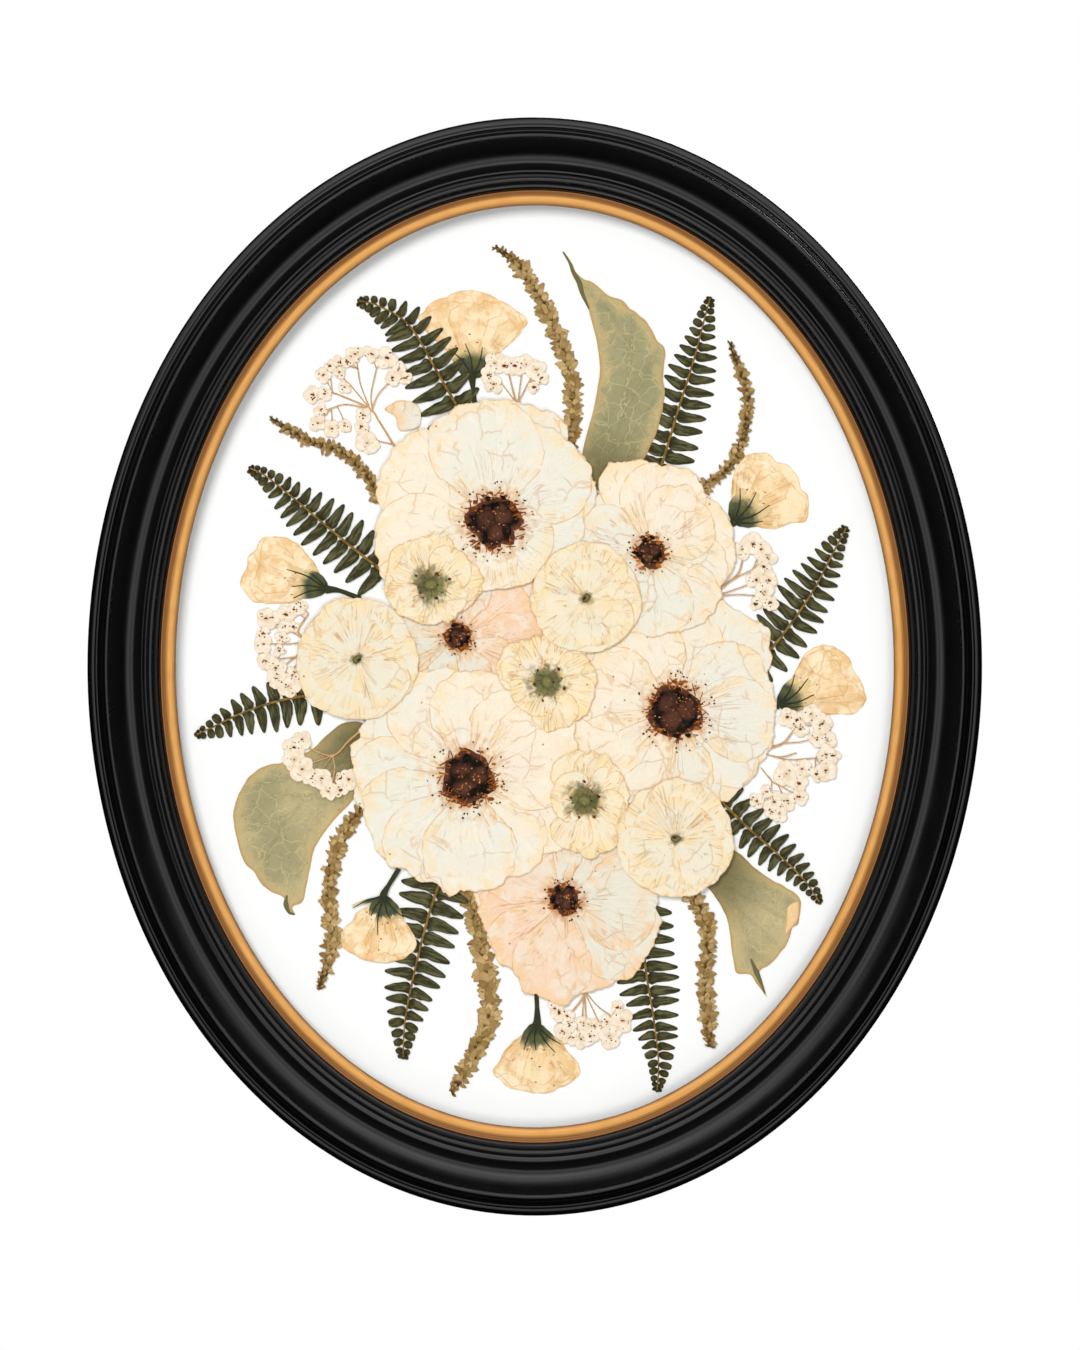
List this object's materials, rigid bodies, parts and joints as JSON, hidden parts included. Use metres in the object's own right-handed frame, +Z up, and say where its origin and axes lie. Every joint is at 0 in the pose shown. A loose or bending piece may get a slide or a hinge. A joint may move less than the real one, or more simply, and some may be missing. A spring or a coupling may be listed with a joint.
{
  "type": "pressed flower frame",
  "caption": "Oval black picture frame with a gilt slip, holding pressed anemones, ranunculus, buds, ferns, leaves and catkins on white board behind glass.",
  "frame": {"origin": "centre of the dust cover's rear face, the flat back of the frame", "axes": "+X to the viewer's right, +Y out of the back towards the wall, +Z up the picture; the picture faces -Y"},
  "size_m": [0.3354, 0.0288, 0.4118],
  "materials": {
    "black_lacquer": "satin black paint on wood, softly shining on the beads",
    "gilt": "rubbed gilding, brown in its grooves",
    "clear_glass": "clear polished sheet glass",
    "white_card": "matt white mount board",
    "grey_board": "matt grey backing board",
    "kraft_paper": "matt brown paper",
    "steel": "thin brass-plated steel",
    "rubber": "matt black rubber",
    "ivory_petal": "dry, thin ivory petal with tan creases and edges",
    "blush_petal": "dry, thin peach petal with tan creases and edges",
    "cream_petal": "dry, thin yellow-cream petal with tan edges",
    "fern_green": "dry, dark olive leaflet with a golden midrib",
    "sage_leaf": "dry grey-green leaf with golden edges and veins",
    "tan_bract": "dry tan and olive bracts",
    "white_floret": "dry cream florets on tan stems"
  },
  "bodies": {
    "root": {"moulding": "black_lacquer", "gilt_lip": "gilt", "glass": "clear_glass", "mount_board": "white_card", "backing_board": "grey_board", "dust_cover": "kraft_paper", "sawtooth_hanger": "steel", "hanger_nail_left": "steel", "hanger_nail_right": "steel", "bumper_left": "rubber", "bumper_right": "rubber", "anemone_top": "ivory_petal", "anemone_upper_right": "ivory_petal", "anemone_right": "ivory_petal", "anemone_left": "ivory_petal", "anemone_small_blush": "blush_petal", "anemone_lower_blush": "blush_petal", "ranunculus_middle": "cream_petal", "ranunculus_left": "cream_petal", "ranunculus_right": "cream_petal", "blossom_upper": "cream_petal", "blossom_middle": "cream_petal", "blossom_lower": "cream_petal", "bud_top": "cream_petal", "bud_left": "cream_petal", "bud_upper_right": "cream_petal", "bud_right": "cream_petal", "bud_lower_left": "cream_petal", "bud_bottom": "cream_petal", "fern_top": "fern_green", "fern_upper_left": "fern_green", "fern_upper_right": "fern_green", "fern_right": "fern_green", "fern_left": "fern_green", "fern_lower_right": "fern_green", "fern_bottom_left": "fern_green", "fern_bottom_right": "fern_green", "leaf_top": "sage_leaf", "leaf_left": "sage_leaf", "leaf_lower_right": "sage_leaf", "catkin_top": "tan_bract", "catkin_upper_left": "tan_bract", "catkin_upper_right": "tan_bract", "catkin_lower_left": "tan_bract", "catkin_bottom": "tan_bract", "catkin_lower_right": "tan_bract", "umbel_upper_left": "white_floret", "umbel_top": "white_floret", "umbel_left": "white_floret", "umbel_upper_right": "white_floret", "umbel_right": "white_floret", "umbel_lower_left": "white_floret", "umbel_bottom": "white_floret"}
  },
  "joints": []
}
